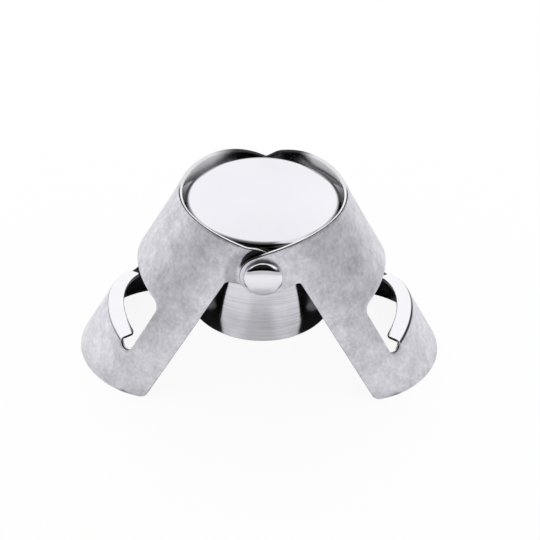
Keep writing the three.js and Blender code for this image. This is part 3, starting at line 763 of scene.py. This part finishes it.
tongue_side = WINDOW_SIDE + RELIEF_WIDTH
tongue_top = FOLD + TONGUE
roof = (WINDOW_SIDE + WINDOW_CORNER, WINDOW_TOP - WINDOW_CORNER)
relief = (WINDOW_SIDE + RELIEF_WIDTH / 2, RELIEF_BOTTOM + RELIEF_WIDTH / 2)
tip = (tongue_side + TONGUE_CORNER, tongue_top - TONGUE_CORNER)
window_side = (bend(roof, WINDOW_CORNER, math.pi / 2, math.pi)
               + straight((WINDOW_SIDE, roof[1]), (WINDOW_SIDE, relief[1]))
               + bend(relief, RELIEF_WIDTH / 2, math.pi, math.tau)
               + [(tongue_side, y) for y in np.linspace(relief[1], tip[1], 13)[:-1]]
               + bend(tip, TONGUE_CORNER, math.pi, math.pi / 2))
tongue_end = straight((tip[0], tongue_top), (GIRTH - tip[0], tongue_top)) + [(GIRTH - tip[0], tongue_top)]
window = (window_side + tongue_end + mirrored(window_side)
          + straight((GIRTH - roof[0], WINDOW_TOP), (roof[0], WINDOW_TOP))[1:])
rivet_holes = [bend((x, 0.0), BORE_RADIUS, 0.0, math.tau) for x in (0.0, GIRTH)]


def inside(points, loop):
    """Which of the points lie inside a loop."""
    x, y = points[:, :1], points[:, 1:]
    ax, ay = loop[:, 0], loop[:, 1]
    bx, by = np.roll(ax, -1), np.roll(ay, -1)
    span = np.where(by == ay, 1.0, by - ay)
    crosses = ((ay > y) != (by > y)) & (x < ax + (bx - ax) * (y - ay) / span)
    return crosses.sum(axis=1) % 2 == 1


def set_in(loop, distance, hole):
    """The loop moved into the metal by a distance."""
    on = np.roll(loop, -1, axis=0) - loop
    area = (loop[:, 0] * np.roll(loop[:, 1], -1) - loop[:, 1] * np.roll(loop[:, 0], -1)).sum()
    side = np.stack([-on[:, 1], on[:, 0]], axis=1) / np.linalg.norm(on, axis=1)[:, None]
    mean = side + np.roll(side, 1, axis=0)
    mean /= np.linalg.norm(mean, axis=1)[:, None]
    reach = distance / (mean * side).sum(axis=1)
    return loop + mean * (reach * math.copysign(1.0, area) * (-1.0 if hole else 1.0))[:, None]


def flat_blank():
    """The flat sheet as a closed mesh: x along the girth, y the height, z the depth in the metal."""
    loops = [np.array(loop) for loop in (outline, window, *rivet_holes)]
    inner = [set_in(loop, EDGE_ROUNDING, i > 0) for i, loop in enumerate(loops)]
    ring_radii = np.arange(
        RECESS_RADIUS - RING_BEFORE, RECESS_RADIUS + RECESS_RAMP + RING_AFTER, RING_SPACING)
    rings = [bend((0.0, 0.0), radius, -RING_REACH, RING_REACH) for radius in ring_radii]
    fold = [[(x, y) for x in np.arange(tongue_side, GIRTH - tongue_side, FOLD_SPACING)]
            for y in np.arange(FOLD + FOLD_ROWS[0], FOLD + FOLD_ROWS[1], FOLD_ROWS[2])]
    rows = [[(x + (i % 2) * FACET / 2, y) for x in np.arange(-EAR_RADIUS, GIRTH + EAR_RADIUS, FACET)]
            for i, y in enumerate(np.arange(rim(HALF_GIRTH), EAR_RADIUS, FACET * ROW_SHARE))]
    taken = np.concatenate(inner)
    for group, room in ((rings, RING_ROOM), (fold, FOLD_ROOM), (rows, FACET * FACET_ROOM)):
        points = np.concatenate([np.array(row) for row in group])
        fits = inside(points, inner[0])
        for hole in inner[1:]:
            fits &= ~inside(points, hole)
        points = points[fits]
        distance = np.linalg.norm(points[:, None] - taken[None], axis=2).min(axis=1)
        taken = np.concatenate([taken, points[distance > room]])
    starts = np.cumsum([0] + [len(loop) for loop in inner])
    edges = [(start + i, start + (i + 1) % len(loop)) for start, loop in zip(starts, inner)
             for i in range(len(loop))]
    found = delaunay_2d_cdt([Vector(point) for point in taken], edges, [], 0, 1e-6)
    flat = np.array([tuple(point) for point in found[0]])
    triangles = np.array(found[2])
    middle = flat[triangles].mean(axis=1)
    kept = inside(middle, inner[0])
    for hole in inner[1:]:
        kept &= ~inside(middle, hole)
    triangles = triangles[kept]
    place = {old: new for new, olds in enumerate(found[3]) for old in olds}
    total = len(flat)
    points = [(x, y, 0.0) for x, y in flat] + [(x, y, SHEET) for x, y in flat]
    faces = [tuple(reversed(t)) for t in triangles] + [tuple(v + total for v in t) for t in triangles]
    for start, loop, hole in zip(starts, loops, (False, True, True, True)):
        first = [place[start + i] for i in range(len(loop))]
        last = [v + total for v in first]
        bands = [first]
        angles = np.linspace(0.0, math.pi / 2, EDGE_STEPS + 1)[1:]
        levels = [(EDGE_ROUNDING * (1 - math.sin(a)), EDGE_ROUNDING * (1 - math.cos(a))) for a in angles]
        for back, depth in levels + [(back, SHEET - depth) for back, depth in reversed(levels)]:
            bands.append([len(points) + i for i in range(len(loop))])
            points += [(x, y, depth) for x, y in set_in(loop, back, hole)]
        bands.append(last)
        for one, two in zip(bands, bands[1:]):
            around = [(one[i - 1], one[i], two[i], two[i - 1]) for i in range(len(loop))]
            faces += [face[::-1] for face in around] if hole else around
    return points, faces


def blank_mesh():
    """The blank as a mesh in millimetres, with its flat place kept for the grain of the steel."""
    points, faces = flat_blank()
    mesh = bpy.data.meshes.new("wing_blank")
    mesh.from_pydata(points, [], faces)
    layer = mesh.uv_layers.new(name="blank")
    corner = np.array([points[loop.vertex_index][:2] for loop in mesh.loops])
    layer.data.foreach_set("uv", (corner * MM).ravel())
    depth = mesh.attributes.new("depth", "FLOAT", "POINT")
    depth.data.foreach_set("value", [point[2] / SHEET for point in points])
    mesh.shade_smooth()
    return mesh


def satin_steel(nodes):
    """Satin with clouds, flecks and streaks; the tongue and the inside are smoother.
    The inside has painted shade where it would mirror the room, and painted light by the crests at the back;
    the tongue is painted brighter, the cut edges get a painted highlight, and a crescent and a fold line get
    painted shade."""
    place, blank = own_place(nodes), nodes.term("ShaderNodeUVMap", {"uv_map": "blank"})
    depth = nodes.term("ShaderNodeAttribute", {"attribute_name": "depth"}, None, "Fac")
    x, y, z = parts(nodes, place)
    along, height, _ = parts(nodes, blank)
    inner = past(depth, *INNER_SIDE)
    cut = (depth > SKIN) * (depth < 1.0 - SKIN)
    back = rising(y, *BACK_HALF)
    right, well_right = x > 0.0, x > RIGHT_START * MM
    right_front, right_back = well_right * (1.0 - back), well_right * back

    on_fold = absolute(along - HALF_GIRTH * MM) < (HALF_GIRTH - tongue_side) * MM
    tongue = on_fold * (height > (FOLD + TONGUE_START) * MM) * (height < (WINDOW_TOP - WINDOW_CORNER) * MM)
    # A painted dark line along the tongue's fold, a painted reflection of the bend, wider and darker on the
    # right.
    fold_line = on_fold * rising(height, FOLD - FOLD_LINE, FOLD_LINE_IN)
    fold_line = fold_line * (1.0 - rising(height, FOLD + FOLD_LINE + right * FOLD_LINE_RIGHT, FOLD_LINE_OUT))
    fold_line = fold_line * between(FOLD_LINE_SHARES, right)

    ear = lowest(along, GIRTH * MM - along)
    shade_width = EAR_SHADE_WIDTH + back * EAR_SHADE_BACK - right_back * EAR_SHADE_RIGHT_BACK
    near_ear = 1.0 - rising(ear, EAR_SHADE + (right_back - right_front) * EAR_SHADE_RIGHT, shade_width)
    light_shift = right_back * CREST_LIGHT_RIGHT
    back_side = back * rising(ear, CREST_LIGHT + light_shift, CREST_LIGHT_WIDTH - light_shift)
    back_side = back_side * (height > CREST_LIGHT_LOW * MM)
    lid_line = LID_SHADE - back * LID_SHADE_BACK + right * LID_SHADE_RIGHT
    by_lid = (1.0 - rising(z, lid_line, LID_SHADE_WIDTH)) * (z > LID_SHADE_LOW * MM)
    # Painted shade on the inside low down, by the ears and by the lid; painted light by the crests at the
    # back.
    low = falling(height, *INNER_SHADE)
    low = low * (1.0 - back * falling(height, *INNER_SHADE_LOW) * INNER_SHADE_SHARE)
    painted_shade = inner * highest(highest(low, near_ear), by_lid * LID_PAINTED_SHADE_SHARE)
    light = inner * back_side

    from_rivet = nodes.term("ShaderNodeVectorMath", {"operation": "LENGTH"}, {0: blank}, "Value")
    past_step = from_rivet - STEP_FOOT * MM
    step = rising(past_step, *STEP_IN) * (1.0 - rising(past_step, *STEP_OUT))
    # A crescent in the recess at the rivet's upper side is painted dark, a painted shadow of the step.
    growth = clamped(height / (CRESCENT_HEIGHT * MM), 0.0, 1.0) * CRESCENT_GROWTH
    crescent = rising(along, *CRESCENT_ALONG) * rising(height, *CRESCENT_UP)
    crescent = crescent * (1.0 - rising(past_step, growth, CRESCENT_EDGE))

    clouds = noise(nodes, place, scale=260.0, detail=5.0, roughness=0.65)
    flecks = noise(nodes, place, scale=1100.0, detail=4.0, roughness=0.65)
    streaks = noise(nodes, stretched(nodes, blank, STREAK_STRETCH), scale=1.0, detail=3.0, roughness=0.6)
    broad = noise(nodes, place, scale=110.0)
    share = clamped(
        clouds * SATIN_CLOUDS + flecks * SATIN_FLECKS + streaks * SATIN_STREAKS - SATIN_START, 0.0, 1.0)
    share = clamped(share * SATIN_SHARE + broad * SATIN_BROAD - SATIN_BROAD_START
                    + falling(height, *LEG_PAINTED_LIGHT) * LEG_PAINTED_LIGHT_SHARE, 0.0, 1.0)
    colour = blended(nodes, share, grey(SATIN_COLOUR, SATIN_DARK), grey(SATIN_COLOUR, SATIN_LIGHT))
    bright = blended(nodes, share, grey(PAINTED_LIGHT_COLOUR, PAINTED_LIGHT_DARK), PAINTED_LIGHT_COLOUR)
    shaded = blended(nodes, streaks, grey(PAINTED_SHADE_COLOUR, PAINTED_SHADE_DARK), grey(PAINTED_SHADE_COLOUR, PAINTED_SHADE_LIGHT))
    # Painted highlight on the cut edges with painted dark lines beside it, lighter at the back crests.
    cut_highlight_share = eased((depth - CUT_SIDE) * CUT_SHARPNESS) * (1.0 - back) + back_side * CREST_CUT_HIGHLIGHT
    # The tongue and the inside by the back crests take the painted light colour.
    colour = blended(nodes, highest(tongue, light), colour, bright)
    colour = blended(nodes, painted_shade, colour, shaded)
    colour = blended(nodes, cut, colour, blended(nodes, cut_highlight_share, CUT_SHADE, CUT_PAINTED_HIGHLIGHT))
    colour = blended(nodes, crescent * (1.0 - cut), colour, CUT_SHADE)
    colour = blended(nodes, fold_line * (1.0 - cut), colour, CUT_SHADE)

    polish = highest(tongue, inner) * (1.0 - painted_shade * POLISH_UNDER_PAINTED_SHADE)
    polished_roughness = (between(POLISH_ROUGHNESS, flecks) + inner * (1.0 - near_ear) * INNER_ROUGHNESS
                          + back_side * CREST_ROUGHNESS)
    satin_roughness = between(SATIN_ROUGHNESS, clouds) + step * STEP_ROUGHNESS
    roughness = satin_roughness * (1.0 - polish) + polish * polished_roughness
    relief = (streaks + flecks * FLECK_RELIEF) * (1.0 - polish * POLISHED_FLATNESS)
    metallic = 1.0 - light * (1.0 - by_lid * LID_PAINTED_SHADE_SHARE) * CREST_METALLIC

    level = (depth < SKIN) * rising(past_step, *LEVEL_IN) * (1.0 - rising(past_step, *LEVEL_OUT))
    level = level * rising(height, *LEVEL_UP) * LEVEL_SHARE
    flat = nodes.term("ShaderNodeCombineXYZ", None, {"Y": (y > 0.0) * 2.0 - 1.0})
    flat = nodes.term("ShaderNodeVectorTransform", {"vector_type": "NORMAL"}, {0: flat})
    smooth = nodes.term("ShaderNodeMix", {"data_type": "VECTOR"}, {
        "Factor_Float": level, "A_Vector": nodes.term("ShaderNodeNewGeometry", None, None, "Normal"),
        "B_Vector": flat}, "Result_Vector")
    turned_up = nodes.term("ShaderNodeCombineXYZ", None, {"Z": light * (1.0 - by_lid) * CREST_TURNED_UP})
    turned_up = nodes.term("ShaderNodeVectorTransform", {"vector_type": "VECTOR"}, {0: turned_up})
    smooth = nodes.term("ShaderNodeVectorMath", {"operation": "ADD"}, {0: smooth, 1: turned_up})
    smooth = nodes.term("ShaderNodeVectorMath", {"operation": "NORMALIZE"}, {0: smooth})
    return colour, roughness, relief, SATIN_RELIEF * MM, smooth, metallic


forming, size = named_tree("wing_forming", WING_SIZES)
along, height, depth = parts(forming, forming.term("GeometryNodeInputPosition"))
side = (along > HALF_GIRTH) * 2.0 - 1.0
out, across, normal_out, normal_across = section(along, side)
on_tongue = (absolute(along - HALF_GIRTH) < HALF_GIRTH - WINDOW_SIDE - RELIEF_WIDTH / 2) * (
    height > FOLD) * (height < WINDOW_TOP - WINDOW_CORNER)
reach = on_tongue * (height - FOLD)
turn = lowest(reach / FOLD_RADIUS, size["Fold"])
beyond = reach - turn * FOLD_RADIUS
base = height - reach
inward = (1.0 - cosine(turn)) * FOLD_RADIUS + beyond * sine(turn)
lift = sine(turn) * FOLD_RADIUS + beyond * cosine(turn)
distance = root(along * along + height * height)
recess = (1.0 - eased((distance - RECESS_RADIUS) / RECESS_RAMP)) * size["Recess"]
flare = highest(-base - FLARE_START, 0.0) * FLARE
shift = flare - recess - inward - depth * cosine(turn)
tangent = size["Opening"].math("TANGENT", size["Opening"])
trim = (1.0 - clamped((base - rim(along)) / RIM_TRIM, 0.0, 1.0)) * depth * normal_out * tangent
x = -(out + normal_out * shift)
y = across + normal_across * shift
z = base + lift - depth * sine(turn) + trim
formed_place = forming.term("ShaderNodeCombineXYZ", None, {
    "X": (x * cosine(size["Opening"]) + z * sine(size["Opening"])) * MM,
    "Y": y * MM,
    "Z": (size["Pivot"] - x * sine(size["Opening"]) + z * cosine(size["Opening"])) * MM})
shell = forming.term("GeometryNodeSetPosition", None, {
    "Geometry": size["Geometry"], "Position": formed_place})
facing = forming.term("ShaderNodeCombineXYZ", None, {"Z": size["Half turn"]})
facing = forming.term("FunctionNodeEulerToRotation", None, {0: facing})
shell = forming.term("GeometryNodeTransform", None, {"Geometry": shell, "Rotation": facing})
finish_tree(forming, shell, surface("satin_steel", satin_steel))

blank = blank_mesh()
for name, half_turn in (("left_wing", 0.0), ("right_wing", math.pi)):
    wing = grown(name + "_shell", blank.copy(), forming, {**WING_SIZES, "Half turn": half_turn})
    wing.data.set_sharp_from_angle(angle=CREASE)
    stand_for(wing, name, "satin_steel", name)


# Table, light and camera
# A white table in a light tent, with the dark room showing where the camera looks in.
# The camera stands where the photograph was taken, with a long lens.

TABLE_SIZE = 3.0
TABLE_DARK, TABLE_LIGHT = (0.88, 0.88, 0.88), (0.92, 0.92, 0.92)
TABLE_SEEN, TABLE_MIRRORED = 0.91, 0.3
WINGS_SHADE, FRONT_SHADE, BEYOND_SHADE = 0.97, 0.22, 0.32
TENT_LIGHT, HORIZON = 0.95, (-0.02, 0.04)
# The tent's door and gap: the way each lies, its width and its top, as shares of a direction.
DOOR_WAY, DOOR_WIDTH, DOOR_TOP, DOOR_SHADE = (-0.17, -0.98), (0.4, 0.3), (0.93, 0.06), 0.985
GAP_WAY, GAP_WIDTH, GAP_TOP, GAP_SHADE = (0.28, -0.96), (-0.6, 0.35), (0.2, 0.25), 0.88
# The table's zones: where each starts and over what width it eases in, in millimetres.
MIRRORED_IN = (30.0, 50.0)
WINGS_IN, WINGS_OUT, WINGS_SIDE = (19.0, 4.0), (32.0, 2.0), (18.5, 2.0)
FRONT_OUT, FRONT_SIDE = (38.0, 16.0), (6.0, 10.0)
BEYOND_IN, BEYOND_WAY, BEYOND_SLOPE, BEYOND_START = (100.0, 120.0), (0.3, -0.96), 1.6, 0.75
LAMP_SIZE, LAMP_ENERGY = (0.7, 0.4), 0.9
LAMP_PLACE, LAMP_AIM = Vector((-0.05, 0.5, 0.38)), Vector((0.0, 0.0, 0.03))
CAMERA_AIM = Vector((0.0, 0.0, 33.4)) * MM
CAMERA_DISTANCE = 0.361
CAMERA_HEIGHT = math.radians(35.38)
CAMERA_SIDE = math.radians(-1.27)
CAMERA_ROLL = math.radians(1.49)
LENS_PIXELS, LENS_CENTRE, IMAGE_SIZE = 1571.8, (262.34, 229.16), 540
SENSOR_WIDTH = 36.0


def toward(way, x, y, distance):
    """How far a point at this distance lies along a way, from -1 to 1."""
    return (x * way[0] + y * way[1]) / distance


def ray_kinds(nodes):
    """Whether a ray comes from the camera, and whether it is mirrored."""
    rays = nodes.add("ShaderNodeLightPath").outputs
    mirrored_ray = highest(Term(nodes, rays["Is Glossy Ray"]), Term(nodes, rays["Is Transmission Ray"]))
    return Term(nodes, rays["Is Camera Ray"]), mirrored_ray


# The tent is white but for its door and a low gap beside it, which only mirrored rays see.
world = bpy.data.worlds.new("light_tent")
bpy.context.scene.world = world
world.use_nodes = True
tent = Nodes(world.node_tree)
camera_ray, mirrored_ray = ray_kinds(tent)
dx, dy, dz = parts(tent, Term(tent, tent.add("ShaderNodeTexCoord").outputs["Generated"]))
level = root(dx * dx + dy * dy + 1e-6)
above = past(dz, *HORIZON)
door = past(toward(DOOR_WAY, dx, dy, level), *DOOR_WIDTH) * above * (1.0 - past(dz, *DOOR_TOP))
gap = past(toward(GAP_WAY, dx, dy, level), *GAP_WIDTH) * above * (1.0 - past(dz, *GAP_TOP))
mirrored_tent = (1.0 - door * DOOR_SHADE) * (1.0 - gap * GAP_SHADE)
unseen = mirrored_ray * mirrored_tent + (1.0 - mirrored_ray) * TENT_LIGHT
backdrop = tent.term("ShaderNodeBackground", None, {
    "Color": (1.0, 1.0, 1.0, 1.0), "Strength": camera_ray + (1.0 - camera_ray) * unseen})
tent.add("ShaderNodeOutputWorld", None, {"Surface": backdrop})

# The table is white too, and keeps the stopper's shadow. Mirrored rays meet it with painted shade under the
# wings, in front of the cup, and far out on the camera's side.
table_material = bpy.data.materials.new("white_table")
table_material.use_nodes = True
top = Nodes(table_material.node_tree)
camera_ray, mirrored_ray = ray_kinds(top)
place = own_place(top)
x, y, _ = parts(top, place)
distance = top.term("ShaderNodeVectorMath", {"operation": "LENGTH"}, {0: place}, "Value")
sideways = absolute(x)
paper = top.term("ShaderNodeBsdfPrincipled", None, {
    "Base Color": blended(top, noise(top, place, scale=900.0, detail=3.0), TABLE_DARK, TABLE_LIGHT),
    "Roughness": 0.9})
glow = top.term("ShaderNodeEmission", None, {"Color": (1.0, 1.0, 1.0, 1.0), "Strength": 1.0})
share = camera_ray * TABLE_SEEN + mirrored_ray * TABLE_MIRRORED * rising(distance, *MIRRORED_IN)
mixed = top.term("ShaderNodeMixShader", None, {0: share, 1: paper, 2: glow})
under_wings = rising(sideways, *WINGS_IN) * (1.0 - rising(sideways, *WINGS_OUT))
under_wings = under_wings * (1.0 - rising(absolute(y), *WINGS_SIDE))
in_front = (1.0 - rising(distance, *FRONT_OUT)) * (1.0 - rising(sideways, *FRONT_SIDE))
beyond = eased(toward(BEYOND_WAY, x, y, distance) * BEYOND_SLOPE + BEYOND_START)
beyond = beyond * rising(distance, *BEYOND_IN)
darkness = highest(highest(under_wings * WINGS_SHADE, in_front * FRONT_SHADE), beyond * BEYOND_SHADE)
dark = top.term("ShaderNodeEmission", None, {"Strength": 0.0})
mixed = top.term("ShaderNodeMixShader", None, {0: mirrored_ray * darkness, 1: mixed, 2: dark})
top.add("ShaderNodeOutputMaterial", None, {"Surface": mixed})
half = TABLE_SIZE / 2
table_mesh = bpy.data.meshes.new("table")
table_corners = [(-half, -half, 0), (half, -half, 0), (half, half, 0), (-half, half, 0)]
table_mesh.from_pydata(table_corners, [], [(0, 1, 2, 3)])
table = show("table", table_mesh, table_material)

lamp = bpy.data.lights.new("softbox", "AREA")
lamp.shape = "RECTANGLE"
lamp.size, lamp.size_y = LAMP_SIZE
lamp.energy = LAMP_ENERGY
softbox = bpy.data.objects.new("softbox", lamp)
bpy.context.collection.objects.link(softbox)
softbox.location = LAMP_PLACE
softbox.visible_camera = False
softbox.visible_glossy = False
softbox.rotation_euler = (LAMP_AIM - LAMP_PLACE).to_track_quat("-Z", "Y").to_euler()

lens = bpy.data.cameras.new("camera")
lens.sensor_width = SENSOR_WIDTH
lens.lens = SENSOR_WIDTH * LENS_PIXELS / IMAGE_SIZE
lens.shift_x = 0.5 - LENS_CENTRE[0] / IMAGE_SIZE
lens.shift_y = LENS_CENTRE[1] / IMAGE_SIZE - 0.5
lens.clip_start = 0.01
camera = bpy.data.objects.new("camera", lens)
bpy.context.collection.objects.link(camera)
away = Vector((
    math.sin(CAMERA_SIDE) * math.cos(CAMERA_HEIGHT),
    -math.cos(CAMERA_SIDE) * math.cos(CAMERA_HEIGHT),
    math.sin(CAMERA_HEIGHT)))
camera.location = CAMERA_AIM + away * CAMERA_DISTANCE
upright_view = away.to_track_quat("Z", "Y").to_matrix()
roll = upright_view.Rotation(CAMERA_ROLL, 3, "Z")
camera.rotation_euler = (upright_view @ roll).to_euler()
bpy.context.scene.camera = camera
bpy.context.scene.view_settings.view_transform = "Standard"
